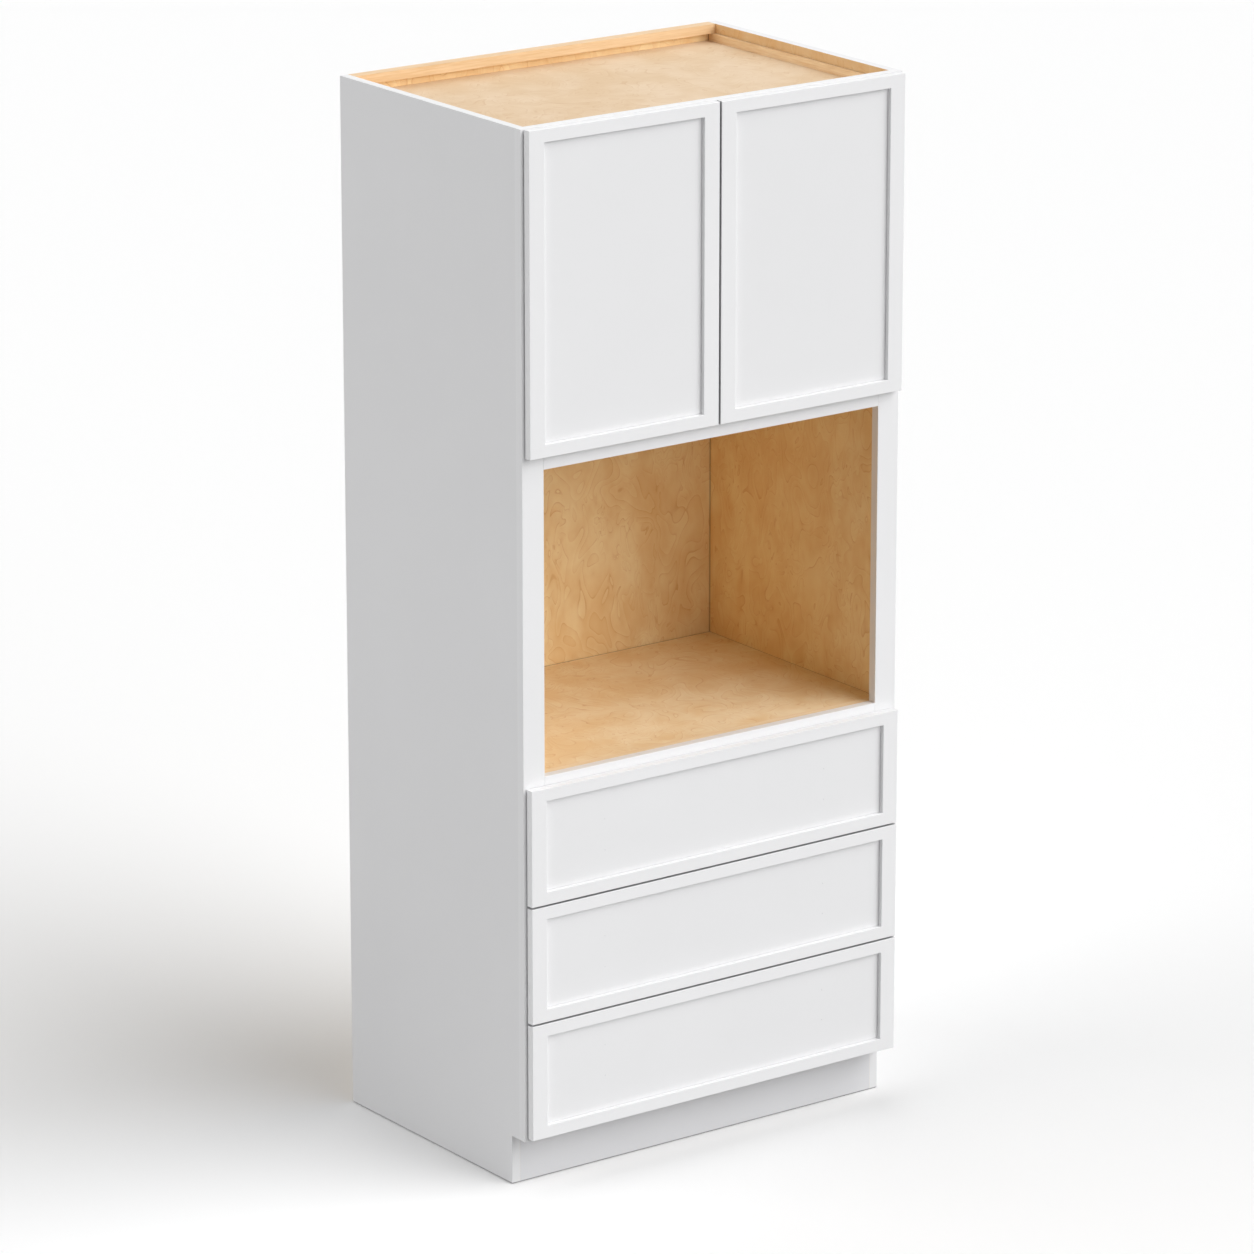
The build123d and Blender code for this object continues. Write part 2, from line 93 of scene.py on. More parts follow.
def set_inputs(tree, node, inputs):
    """Gives each of these inputs of a node its value or its link."""
    for key, value in inputs.items():
        if isinstance(value, bpy.types.NodeSocket):
            tree.links.new(value, node.inputs[key])
        else:
            node.inputs[key].default_value = value


def add_node(tree, kind, inputs=None, **settings):
    """Adds a shader node with its settings, values and links."""
    node = tree.nodes.new("ShaderNode" + kind)
    for name, value in settings.items():
        setattr(node, name, value)
    set_inputs(tree, node, inputs or {})
    return node


def new_finish(name):
    """An empty material, its tree, its main shader, and each point's place in the room."""
    material = bpy.data.materials.new(name)
    material.use_nodes = True
    tree = material.node_tree
    tree.nodes.clear()
    shader = add_node(tree, "BsdfPrincipled")
    add_node(tree, "OutputMaterial", {"Surface": shader.outputs["BSDF"]})
    return material, tree, shader, add_node(tree, "TexCoord").outputs["Object"]


def inside(tree, value, low, high):
    """1 where a value lies between two limits, else 0."""
    above = add_node(tree, "Math", {0: value, 1: low}, operation="GREATER_THAN").outputs[0]
    below = add_node(tree, "Math", {0: value, 1: high}, operation="LESS_THAN").outputs[0]
    return add_node(tree, "Math", {0: above, 1: below}, operation="MULTIPLY").outputs[0]


def off_middle(tree, place):
    """How far a point is from the middle of the cabinet, to either side."""
    width = add_node(tree, "SeparateXYZ", {0: place}).outputs[0]
    return add_node(tree, "Math", {0: width}, operation="ABSOLUTE").outputs[0]


def tinted(tree, colour, tint, mask, strength=1.0):
    """A colour, turned towards a tint by a mask times a strength."""
    amount = add_node(tree, "Math", {0: mask, 1: strength}, operation="MULTIPLY").outputs[0]
    return add_node(tree, "Mix", {0: amount, 6: colour, 7: linear(tint)}, data_type="RGBA").outputs[2]


print("white in linear light:", [round(c, 3) for c in linear("#ECECED")[:3]])

# %% [markdown]
# ## White lacquer
# The outside is hardwood and smooth board, sprayed with a catalysed white lacquer of satin gloss. What
# gives it away is not colour but surface: a spray gun leaves a very fine orange peel, 2 to 3 mm from crest
# to crest and only some hundredths of a millimetre high, so highlights look soft and a little broken.
# Noise into a Bump node makes that. A second, much wider noise moves the tone by about one per cent, as
# a coat of uneven thickness does, so that a large side doesn't look like one flat fill. Solid wood takes
# the coat a little whiter than smooth board does, and the toe board, which stands in shade behind the
# plinth's recess, gets a darker white as painted shade, so there are three whites.
#
# Some places get painted shade in their white. The edges where two fronts face each other across a gap
# are painted grey, for the shade inside the gap. All round a flat panel, in the shaded corner where it meets
# the frame, a fine grey line is painted. And the last millimetres above the floor are painted dark, as the
# shade where the cabinet stands on it.

# %% Where shade is painted
PAINTED_SHADE_GREY = "#BDBDBF"
FOOT_SHADE_GREY = "#8E8E90"
FOOT_SHADE_FULL = 1.6 * MM
FOOT_SHADE_END = 3.2 * MM
LINE_FULL = 0.8 * MM
LINE_END = 2.2 * MM
ROUNDED_ARRIS = 1.5 * MM
ON_EDGE = 0.5 * MM
door_low, door_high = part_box("left_door_stiles")
drawer_low, drawer_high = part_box("bottom_drawer_front_frame")
DRAWER_HEIGHT = drawer_high.z - drawer_low.z
DRAWER_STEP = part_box("middle_drawer_front_frame")[0].z - drawer_low.z
DRAWERS_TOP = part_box("top_drawer_front_frame")[1].z


def gap_shade_edges(tree, place):
    """1 on the edges where the two doors, or two drawer fronts, face each other, which get painted shade."""
    axes = add_node(tree, "SeparateXYZ", {0: place}).outputs
    within = inside(tree, axes[1], door_low.y + ROUNDED_ARRIS, door_high.y - 2 * HAIR)
    middle = inside(tree, off_middle(tree, place), 0.0, 2 * HAIR - door_high.x)
    above = inside(tree, axes[2], door_low.z - ON_EDGE, TOP)
    doors = add_node(tree, "Math", {0: middle, 1: above}, operation="MULTIPLY").outputs[0]
    raised = add_node(tree, "Math", {0: axes[2], 1: ON_EDGE - drawer_low.z}, operation="ADD").outputs[0]
    step = add_node(tree, "Math", {0: raised, 1: DRAWER_STEP}, operation="FLOORED_MODULO").outputs[0]
    lower = inside(tree, step, 0.0, 2 * ON_EDGE)
    upper = inside(tree, step, DRAWER_HEIGHT, DRAWER_HEIGHT + 2 * ON_EDGE)
    low_or_high = add_node(tree, "Math", {0: lower, 1: upper}, operation="MAXIMUM").outputs[0]
    below = inside(tree, axes[2], 0.0, DRAWERS_TOP - 2 * ON_EDGE)
    drawers = add_node(tree, "Math", {0: low_or_high, 1: below}, operation="MULTIPLY").outputs[0]
    either = add_node(tree, "Math", {0: doors, 1: drawers}, operation="MAXIMUM").outputs[0]
    return add_node(tree, "Math", {0: either, 1: within}, operation="MULTIPLY").outputs[0]


def foot_shade(tree, place):
    """Painted shade at the foot: 1 at the floor, fading to 0 a few millimetres up."""
    height = add_node(tree, "SeparateXYZ", {0: place}).outputs[2]
    return add_node(tree, "MapRange", {"Value": height, 1: FOOT_SHADE_FULL, 2: FOOT_SHADE_END, 3: 1.0, 4: 0.0}).outputs[0]


def rim_shade_line(tree, place, low, high):
    """1 along the rim of an upright rectangle, fading to 0 two millimetres inside it, where painted shade
    lines a panel.
    """
    axes = add_node(tree, "SeparateXYZ", {0: place}).outputs
    to_edge = []
    for axis in (0, 2):
        middle = (low[axis] + high[axis]) / 2
        half = (high[axis] - low[axis]) / 2
        off = add_node(tree, "Math", {0: axes[axis], 1: middle}, operation="SUBTRACT").outputs[0]
        size = add_node(tree, "Math", {0: off}, operation="ABSOLUTE").outputs[0]
        to_edge.append(add_node(tree, "Math", {0: half, 1: size}, operation="SUBTRACT").outputs[0])
    nearest = add_node(tree, "Math", {0: to_edge[0], 1: to_edge[1]}, operation="MINIMUM").outputs[0]
    return add_node(tree, "MapRange", {"Value": nearest, 1: LINE_FULL, 2: LINE_END,
                                       3: 1.0, 4: 0.0}).outputs[0]


print("fronts are", round(DRAWER_HEIGHT / MM, 1), "mm high, a step is", round(DRAWER_STEP / MM, 1), "mm")

# %% [markdown]
# The side panels are white on one face only, so the white, the orange peel and the last step, the links
# to the shader, are functions that every board can use.

# %% Lacquer
BOARD_WHITE = "#F0F0F1"
BOARD_SHADE = "#ECECED"
CLOUD_WIDTH = 260 * MM
PEEL_WIDTH = 2.6 * MM
RELIEF = 0.05 * MM
BOARD_IOR = 1.5
SATIN = 0.42


def uneven_white(tree, place, white, shade, edges=False):
    """White in two close tones, with painted shade at the foot and, if edges asks, in the gaps, and how far
    it is from the first.
    """
    cloud = add_node(tree, "TexNoise", {"Vector": place, "Scale": 1 / CLOUD_WIDTH, "Detail": 2.0}).outputs[0]
    tone = add_node(tree, "Mix", {0: cloud, 6: linear(white), 7: linear(shade)}, data_type="RGBA").outputs[2]
    if edges:
        # Painted shade: the edges that face each other across a gap between fronts are turned grey.
        tone = tinted(tree, tone, PAINTED_SHADE_GREY, gap_shade_edges(tree, place))
    # Painted shade: the last millimetres above the floor are darkened, as contact shade at the foot.
    return tinted(tree, tone, FOOT_SHADE_GREY, foot_shade(tree, place)), cloud


def orange_peel(tree, place):
    """The height of the fine waves that a spray gun leaves."""
    return add_node(tree, "TexNoise", {"Vector": place, "Scale": 1 / PEEL_WIDTH, "Detail": 1.0}).outputs[0]


def finish_board(tree, shader, colour, roughness, height, strength):
    """Gives a board's shader its colour, its gloss and a fine relief."""
    bump = add_node(tree, "Bump", {"Height": height, "Strength": strength, "Distance": RELIEF})
    set_inputs(tree, shader, {"Base Color": colour, "Roughness": roughness, "Normal": bump.outputs[0],
                              "IOR": BOARD_IOR})


def sprayed_lacquer(name, white, shade, roughness=SATIN, edges=False, rim=None):
    """Satin white lacquer. Edges asks for painted shade in the gaps; rim is a panel's rectangle, lined with
    painted shade.
    """
    material, tree, shader, place = new_finish(name)
    colour, cloud = uneven_white(tree, place, white, shade, edges)
    # Painted shade: a fine grey line round the panel, in the shaded corner where it meets the frame.
    if rim:
        colour = tinted(tree, colour, PAINTED_SHADE_GREY, rim_shade_line(tree, place, *rim), 0.5)
    gloss = add_node(tree, "MapRange", {"Value": cloud, 1: 0.3, 2: 0.7,
                                        3: roughness - 0.03, 4: roughness + 0.03})
    finish_board(tree, shader, colour, gloss.outputs[0], orange_peel(tree, place), 0.10)
    return material


# The frames' lacquer carries the painted shade in the gaps between fronts.
lacquer = sprayed_lacquer("Satin_white_lacquer_on_hardwood", "#F4F4F5", "#F0F0F1", edges=True)
# Painted shade: the toe board stands in shade under the drawers, so its white is made darker.
shaded_toe_lacquer = sprayed_lacquer("Satin_white_lacquer_on_toe_board_with_painted_shade", "#E7E7E9", "#E2E2E4", roughness=0.46)
HELD_IN_GROOVE = Vector((6.7 * MM, 0.0, 6.7 * MM))
panel_lacquers = {}
for front in FRONTS:
    low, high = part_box(front + "_panel")
    panel_lacquers[front] = sprayed_lacquer(f"Satin_white_lacquer_{front}_panel", BOARD_WHITE, BOARD_SHADE,
                                            rim=(low + HELD_IN_GROOVE, high - HELD_IN_GROOVE))
print("finishes:", lacquer.name, len(panel_lacquers), "panels", shaded_toe_lacquer.name)

# %% [markdown]
# ## Maple
# Inside, every board is plywood faced with rotary-cut maple. The blade peels the log like a roll of
# paper, so the growth rings don't come out as straight lines but as wandering, closed outlines, like
# the heights on a map. Each ring is pale where it starts in spring and darkens slowly to a fine line
# where it ends, so the face looks like petals that lie on each other. A smooth noise is such a map of
# heights. Multiplied by the number of rings and cut down to its fraction, it climbs slowly and then
# drops at once, which gives the petal and its dark rim in one go. A second, tighter set of rings comes
# in where a third noise lets it. The finest real lines are under a millimetre wide. They are drawn about
# two wide here, or they wouldn't show from across a room.

# %% Figured maple veneer
GRAIN_SQUEEZE = {"across": (0.75, 0.7, 1.0), "upright": (1.0, 1.0, 0.6)}
WIDE_RINGS = {"size": 78 * MM, "layers": 8.0, "wander": 1.1, "shift": (0.31, 0.17, 0.53)}
TIGHT_RINGS = {"size": 52 * MM, "layers": 7.0, "wander": 1.6, "shift": (0.73, 0.91, 0.22)}
PATCH_WIDTH = 90 * MM
WORN_WIDTH = 34 * MM
MOTTLE_WIDTH = 46 * MM
SHADE_WIDTH = 170 * MM
FLECK_SPACING = 26 * MM
FLECK_GAIN = 1.3


def ring_set(tree, place, size, layers, wander, shift):
    """One set of rings: how far each point is through its ring, and the dark line at the ring's end."""
    moved = add_node(tree, "Mapping", {"Vector": place, "Location": shift}).outputs[0]
    heights = add_node(tree, "TexNoise", {"Vector": moved, "Scale": 1 / size, "Detail": 1.2,
                                          "Roughness": 0.4, "Distortion": wander}).outputs[0]
    climbed = add_node(tree, "Math", {0: heights, 1: layers}, operation="MULTIPLY").outputs[0]
    through = add_node(tree, "Math", {0: climbed}, operation="FRACT").outputs[0]
    line = add_node(tree, "MapRange", {"Value": through, 1: 0.84, 2: 1.0}, interpolation_type="SMOOTHSTEP")
    return through, line.outputs[0]


def maple_rings(tree, long_grain):
    """Wide rings with patches of tight ones: how far through its ring a point is, and the lines."""
    wide_ring, wide_line = ring_set(tree, long_grain, **WIDE_RINGS)
    tight_ring, tight_line = ring_set(tree, long_grain, **TIGHT_RINGS)
    patches = add_node(tree, "TexNoise", {"Vector": long_grain, "Scale": 1 / PATCH_WIDTH, "Detail": 1.0})
    tighter = add_node(tree, "MapRange", {"Value": patches.outputs[0], 1: 0.5, 2: 0.54},
                       interpolation_type="SMOOTHSTEP").outputs[0]
    ring = add_node(tree, "Mix", {0: tighter, 2: wide_ring, 3: tight_ring}).outputs[0]
    line = add_node(tree, "Mix", {0: tighter, 2: wide_line, 3: tight_line}).outputs[0]
    worn = add_node(tree, "TexNoise", {"Vector": long_grain, "Scale": 1 / WORN_WIDTH, "Detail": 1.0})
    faded = add_node(tree, "MapRange", {"Value": worn.outputs[0], 1: 0.38, 2: 0.6, 3: 0.2, 4: 1.0},
                     interpolation_type="SMOOTHSTEP").outputs[0]
    return ring, add_node(tree, "Math", {0: line, 1: faded}, operation="MULTIPLY").outputs[0]


def maple_ground(tree, long_grain, ring):
    """How pale the wood is between its lines: cloudy, and palest where a ring starts."""
    mottle = add_node(tree, "TexNoise", {"Vector": long_grain, "Scale": 1 / MOTTLE_WIDTH, "Detail": 3.0,
                                         "Roughness": 0.5}).outputs[0]
    shade = add_node(tree, "TexNoise", {"Vector": long_grain, "Scale": 1 / SHADE_WIDTH,
                                        "Detail": 1.0}).outputs[0]
    soft = add_node(tree, "Mix", {0: 0.4, 2: mottle, 3: shade}).outputs[0]
    spread = add_node(tree, "MapRange", {"Value": soft, 1: 0.36, 2: 0.64},
                      interpolation_type="SMOOTHSTEP").outputs[0]
    paler = add_node(tree, "Math", {0: 1.0, 1: ring}, operation="SUBTRACT").outputs[0]
    return add_node(tree, "Mix", {0: 0.3, 2: spread, 3: paler}).outputs[0]


def maple_flecks(tree, long_grain):
    """1 on small dark dots, in about one cell of four, else 0."""
    cells = add_node(tree, "TexVoronoi", {"Vector": long_grain, "Scale": 1 / FLECK_SPACING}).outputs
    dot = add_node(tree, "MapRange", {"Value": cells["Distance"], 1: 0.03, 2: 0.075,
                                      3: 1.0, 4: 0.0}).outputs[0]
    chance = add_node(tree, "SeparateColor", {0: cells["Color"]}).outputs[1]
    rare = add_node(tree, "Math", {0: chance, 1: 0.72}, operation="GREATER_THAN").outputs[0]
    return add_node(tree, "Math", {0: dot, 1: rare}, operation="MULTIPLY").outputs[0]


def veneer_colour(tree, place, grain, pale, deep, ring, ring_strength):
    """The drawn veneer as a colour, and its ring lines for the relief."""
    long_grain = add_node(tree, "Mapping", {"Vector": place, "Scale": GRAIN_SQUEEZE[grain]}).outputs[0]
    rings, lines = maple_rings(tree, long_grain)
    ground = maple_ground(tree, long_grain, rings)
    tone = add_node(tree, "Mix", {0: ground, 6: linear(deep), 7: linear(pale)}, data_type="RGBA").outputs[2]
    drawn = tinted(tree, tone, ring, lines, ring_strength)
    return tinted(tree, drawn, ring, maple_flecks(tree, long_grain), ring_strength * FLECK_GAIN), lines


print("ring sets:", WIDE_RINGS, TIGHT_RINGS)

# %% [markdown]
# Two boards that meet leave a dark hairline, and the corner between them lies in shade. Both are painted in
# the oven space, in its upright corners and round its floor: the veneer is darkened over the last millimetres
# before those planes, a dark joint widened into painted shade. A real hairline is finer, and these are as
# wide as they need to be to show.

# %% Veneer materials
JOINT_DIRT_AND_SHADE = "#6E4A2A"
SIDE_LINE = (2.2 * MM, 0.6 * MM)
BACK_LINE = (4.5 * MM, 1.5 * MM)
BACK_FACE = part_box("back_panel")[0].y


def near_side(tree, place):
    """0 where the line before a side panel starts, rising to 1 where it is full."""
    return add_node(tree, "MapRange", {"Value": off_middle(tree, place), 1: SIDE_INNER - SIDE_LINE[0],
                                       2: SIDE_INNER - SIDE_LINE[1]}).outputs[0]


def near_back(tree, place):
    """0 where the line before the back panel starts, rising to 1 where it is full."""
    depth = add_node(tree, "SeparateXYZ", {0: place}).outputs[1]
    return add_node(tree, "MapRange", {"Value": depth, 1: BACK_FACE - BACK_LINE[0],
                                       2: BACK_FACE - BACK_LINE[1]}).outputs[0]


def with_joints(tree, place, colour, strength):
    """A board's colour, with dark hairlines and painted shade along the sides and the back."""
    either = add_node(tree, "Math", {0: near_side(tree, place), 1: near_back(tree, place)},
                      operation="MAXIMUM").outputs[0]
    return tinted(tree, colour, JOINT_DIRT_AND_SHADE, either, strength)


def maple_veneer(name, pale, deep, ring, ring_strength, roughness, joint=0.0):
    """Figured maple in the given tones, with its grain across the cabinet."""
    material, tree, shader, place = new_finish(name)
    colour, lines = veneer_colour(tree, place, "across", pale, deep, ring, ring_strength)
    finish_board(tree, shader, with_joints(tree, place, colour, joint), roughness, lines, 0.15)
    return material


veneer_across = maple_veneer("Clear_coated_maple_veneer_across", "#FEEAC6", "#F1D09F", "#D39C5A", 0.4, SATIN,
                             joint=0.6)
raw_veneer = maple_veneer("Raw_maple_veneer_across", "#E6CEB0", "#DBBD97", "#C4945E", 0.3, 0.6)
print("veneers:", veneer_across.name, raw_veneer.name)

# %% [markdown]
# Strips, cleats and drawer sides are solid maple, planed along the grain. Here the rings do run in
# straight, close lines, so the noise is pulled out twenty times longer than it is wide. The same tree
# serves for any direction: the Mapping node squeezes the axis along which the strip was planed. A drawer
# box has both directions in one mesh. Its two sides run front to back, its front and rear wall run
# across, and how far a point is from the middle tells which board it is in. The fibres are drawn two
# millimetres wide, which is coarser than real ones, so that they show.

# %% Planed maple
ALONG_X = (0.05, 1.0, 1.0)
ALONG_Y = (1.0, 0.05, 1.0)
BAND_WIDTH = 9 * MM
FIBRE_WIDTH = 2.2 * MM


def planed_maple(name, squeeze, pale, deep, roughness=0.45, joint=0.0, walls_from=None):
    """Straight-grained solid maple. The squeezed axis is the one that the grain follows, but nearer to
    the middle than walls_from the grain runs across."""
    material, tree, shader, place = new_finish(name)
    along = add_node(tree, "Mapping", {"Vector": place, "Scale": squeeze}).outputs[0]
    if walls_from:
        across = add_node(tree, "Mapping", {"Vector": place, "Scale": ALONG_X}).outputs[0]
        in_wall = inside(tree, off_middle(tree, place), -1.0, walls_from)
        along = add_node(tree, "Mix", {0: in_wall, 4: along, 5: across}, data_type="VECTOR").outputs[1]
    band = add_node(tree, "TexNoise", {"Vector": along, "Scale": 1 / BAND_WIDTH, "Detail": 3.0,
                                       "Roughness": 0.6, "Distortion": 0.4}).outputs[0]
    fibre = add_node(tree, "TexNoise", {"Vector": along, "Scale": 1 / FIBRE_WIDTH, "Detail": 2.0}).outputs[0]
    mixed = add_node(tree, "Mix", {0: 0.4, 2: band, 3: fibre}).outputs[0]
    ground = add_node(tree, "MapRange", {"Value": mixed, 1: 0.34, 2: 0.66},
                      interpolation_type="SMOOTHSTEP").outputs[0]
    tone = add_node(tree, "Mix", {0: ground, 6: linear(deep), 7: linear(pale)}, data_type="RGBA").outputs[2]
    finish_board(tree, shader, with_joints(tree, place, tone, joint), roughness, fibre, 0.12)
    return material


maple_wide = planed_maple("Planed_maple_across", ALONG_X, "#EFCFA6", "#E2BC8C")
maple_deep = planed_maple("Planed_maple_front_to_back", ALONG_Y, "#EBC695", "#D8AA74")
maple_lipping = planed_maple("Maple_edge_lipping", ALONG_X, "#FBE6C4", "#F3D6AB", roughness=SATIN)
maple_cleat = planed_maple("Planed_maple_top_cleats", ALONG_Y, "#F5D8AE", "#E6BF8E", joint=0.7)
BOX_WALL = 16.0 * MM
BOX_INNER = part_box("top_drawer_box")[1].x - BOX_WALL
maple_box = planed_maple("Planed_maple_drawer_box", ALONG_Y, "#EBC695", "#DDB27E", walls_from=BOX_INNER)
print("solid maple:", maple_wide.name, maple_deep.name, maple_lipping.name, maple_cleat.name, maple_box.name)

# %% [markdown]
# ## A side that is white outside and maple inside
# Each side is one board with two faces: lacquer outside and on its edges, veneer inside. Two materials
# would need the mesh cut into parts. Instead one material asks each point how far it is from the middle
# of the cabinet: on the inner face that is exactly the inner plane, so everything nearer than a hair
# beyond it is veneer. The drilled shelf-pin holes go deeper, so they are let in by a box of their own.
# The rear edge is never sprayed, and shows the plies of the board as fine dark and light lines. Above
# the top panel the veneer is darkened to a warmer honey as painted shade, for the shallow well there.

# %% Side panels
COATED_VENEER = ("#FFE8B9", "#F0CA91", "#D39855", 0.38)
PLY = 2.7 * MM
HOLES_LOW = Vector((0.0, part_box("bottom_rail")[0].y + 40 * MM, 1600 * MM))
HOLES_HIGH = Vector((SIDE_INNER + 10.5 * MM, REAR - 20 * MM, 2000 * MM))
TOP_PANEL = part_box("top_panel")[1].z


def pin_holes(tree, axes, off_centre):
    """1 in the box that holds the drilled shelf-pin holes, else 0."""
    across = inside(tree, off_centre, HOLES_LOW.x, HOLES_HIGH.x)
    deep = inside(tree, axes[1], HOLES_LOW.y, HOLES_HIGH.y)
    high = inside(tree, axes[2], HOLES_LOW.z, HOLES_HIGH.z)
    both = add_node(tree, "Math", {0: across, 1: deep}, operation="MULTIPLY").outputs[0]
    return add_node(tree, "Math", {0: both, 1: high}, operation="MULTIPLY").outputs[0]


def ply_lines(tree, off_centre):
    """The plies of a board's edge, in turn dark and light, as a colour."""
    count = add_node(tree, "Math", {0: off_centre, 1: 1 / PLY}, operation="MULTIPLY").outputs[0]
    wave = add_node(tree, "Math", {0: count, 1: 1.0}, operation="PINGPONG").outputs[0]
    return add_node(tree, "Mix", {0: wave, 6: linear("#C09A70"), 7: linear("#E3CBA8")},
                    data_type="RGBA").outputs[2]


def two_faced_board(name):
    """White lacquer outside, clear-coated veneer inside, and bare plies on the rear edge."""
    material, tree, shader, place = new_finish(name)
    axes = add_node(tree, "SeparateXYZ", {0: place}).outputs
    off_centre = off_middle(tree, place)
    inner_face = inside(tree, off_centre, 0.0, SIDE_INNER + HAIR)
    wood = add_node(tree, "Math", {0: inner_face, 1: pin_holes(tree, axes, off_centre)},
                    operation="MAXIMUM").outputs[0]
    veneer, lines = veneer_colour(tree, place, "upright", *COATED_VENEER)
    # Painted shade: the inner face in the shallow well above the top panel is turned darker and warmer.
    above_top = inside(tree, axes[2], TOP_PANEL + 0.5 * MM, TOP + 1 * MM)
    shaded_well = tinted(tree, veneer, "#C08A50", above_top, 0.45)
    jointed = tinted(tree, shaded_well, JOINT_DIRT_AND_SHADE, near_back(tree, place), 0.45)
    white = uneven_white(tree, place, BOARD_WHITE, BOARD_SHADE)[0]
    faces = add_node(tree, "Mix", {0: wood, 6: white, 7: jointed}, data_type="RGBA").outputs[2]
    rear_edge = inside(tree, axes[1], REAR - HAIR, REAR + 1 * MM)
    colour = add_node(tree, "Mix", {0: rear_edge, 6: faces, 7: ply_lines(tree, off_centre)}, data_type="RGBA")
    relief = add_node(tree, "Mix", {0: wood, 2: orange_peel(tree, place), 3: lines})
    finish_board(tree, shader, colour.outputs[2], SATIN, relief.outputs[0], 0.10)
    return material


side_board = two_faced_board("Lacquer_outside_maple_inside")
print("finish:", side_board.name)

# %% [markdown]
# The back panel also has two faces. Towards the room it has the same coated veneer, upright. Its rear
# face stands against a wall, so it keeps the plain side of the plywood: raw, pale and matt. That side is
# flat-sawn, so its rings come out as long, pointed arches. The same ring set draws them, squeezed until
# an arch is ten times longer than it is wide.

# %% Back panel
ARCHES = {"size": 110 * MM, "layers": 9.0, "wander": 0.6, "shift": (0.47, 0.0, 0.29)}
RAW_FIBRE_WIDTH = 5 * MM


def plywood_back(name):
    """Coated veneer in front, raw pale plywood behind."""
    material, tree, shader, place = new_finish(name)
    depth = add_node(tree, "SeparateXYZ", {0: place}).outputs[1]
    rear = inside(tree, depth, REAR - HAIR, REAR + 1 * MM)
    veneer, lines = veneer_colour(tree, place, "upright", *COATED_VENEER)
    jointed = tinted(tree, veneer, JOINT_DIRT_AND_SHADE, near_side(tree, place), 0.5)
    along = add_node(tree, "Mapping", {"Vector": place, "Scale": (1.0, 1.0, 0.1)}).outputs[0]
    arch, arch_line = ring_set(tree, along, **ARCHES)
    fibre = add_node(tree, "TexNoise", {"Vector": along, "Scale": 1 / RAW_FIBRE_WIDTH,
                                        "Detail": 2.0}).outputs[0]
    soft = add_node(tree, "Mix", {0: 0.45, 2: arch, 3: fibre}).outputs[0]
    raw = add_node(tree, "Mix", {0: soft, 6: linear("#EDD6B0"), 7: linear("#E0C397")},
                   data_type="RGBA").outputs[2]
    arched = tinted(tree, raw, "#B58F5F", arch_line, 0.22)
    colour = add_node(tree, "Mix", {0: rear, 6: jointed, 7: arched}, data_type="RGBA")
    gloss = add_node(tree, "MapRange", {"Value": rear, 3: SATIN, 4: 0.7})
    relief = add_node(tree, "Mix", {0: rear, 2: lines, 3: fibre})
    finish_board(tree, shader, colour.outputs[2], gloss.outputs[0], relief.outputs[0], 0.15)
    return material


back_board = plywood_back("Plywood_coated_front_raw_back")
print("finish:", back_board.name)

# %% [markdown]
# ## Metals and rubber
# The slides are cold-rolled steel with a bright zinc coat: grey-blue, with fine lines along the rolling
# direction, which is front to back. The real lines are far finer than the millimetre or two drawn here,
# which wouldn't show. The hinges, their screws and the pins are nickel plated, warmer and smoother. For a
# metal the base colour is the colour of the reflection, so it stays light.


# %% Steel and rubber
def plated_steel(name, tint, dark, squeeze, line, roughness):
    """Plated steel with fine lines along the squeezed axis."""
    material, tree, shader, place = new_finish(name)
    along = add_node(tree, "Mapping", {"Vector": place, "Scale": squeeze}).outputs[0]
    lines = add_node(tree, "TexNoise", {"Vector": along, "Scale": 1 / line, "Detail": 2.0}).outputs[0]
    tone = add_node(tree, "Mix", {0: lines, 6: linear(dark), 7: linear(tint)}, data_type="RGBA")
    gloss = add_node(tree, "MapRange", {"Value": lines, 1: 0.3, 2: 0.7,
                                        3: roughness - 0.05, 4: roughness + 0.07})
    set_inputs(tree, shader, {"Base Color": tone.outputs[2], "Roughness": gloss.outputs[0], "Metallic": 1.0})
    return material


def soft_rubber(name):
    """A clear soft bumper, which looks milky because it is rough inside."""
    material, tree, shader, place = new_finish(name)
    haze = add_node(tree, "TexNoise", {"Vector": place, "Scale": 1 / (3 * MM), "Detail": 2.0}).outputs[0]
    tone = add_node(tree, "Mix", {0: haze, 6: linear("#CFCEC8"), 7: linear("#E0DFDA")}, data_type="RGBA")
    set_inputs(tree, shader, {"Base Color": tone.outputs[2], "Roughness": 0.3, "IOR": 1.45,
                              "Subsurface Weight": 0.3, "Subsurface Radius": (1 * MM, 1 * MM, 1 * MM)})
    return material


zinc = plated_steel("Zinc_plated_rolled_steel", "#C9CDD0", "#A9AEB3", (1.0, 0.04, 1.0), 1.5 * MM, 0.34)
nickel = plated_steel("Nickel_plated_steel", "#D2CEC6", "#BDB8AE", (1.0, 1.0, 1.0), 4 * MM, 0.24)
rubber = soft_rubber("Clear_soft_rubber")
print("fittings:", zinc.name, nickel.name, rubber.name)

# %% [markdown]
# ## Giving each board its finish
# A node keeps its mesh, and only its material slot changes. The record says which slot each node
# belongs to, and the direction of the grain decides the rest.

# %% Dress the CAD nodes
slot_of = {part["node"]: part["material_slot"] for part in frame["record"]["subparts"]}
by_slot = {"white_lacquer": lacquer, "maple_veneer": veneer_across, "maple_wood": maple_deep,
           "zinc_steel": zinc, "nickel_steel": nickel, "bumper_rubber": rubber}
by_name = {"left_side_panel": side_board, "right_side_panel": side_board, "back_panel": back_board,
           "top_panel": raw_veneer, "top_hanging_rail": maple_wide, "edge_bands": maple_lipping,
           "top_cleats": maple_cleat, "toe_kick_board": shaded_toe_lacquer}
by_name.update({front + "_panel": panel_lacquers[front] for front in FRONTS})
by_name.update({drawer + "_drawer_box": maple_box for drawer in DRAWERS})

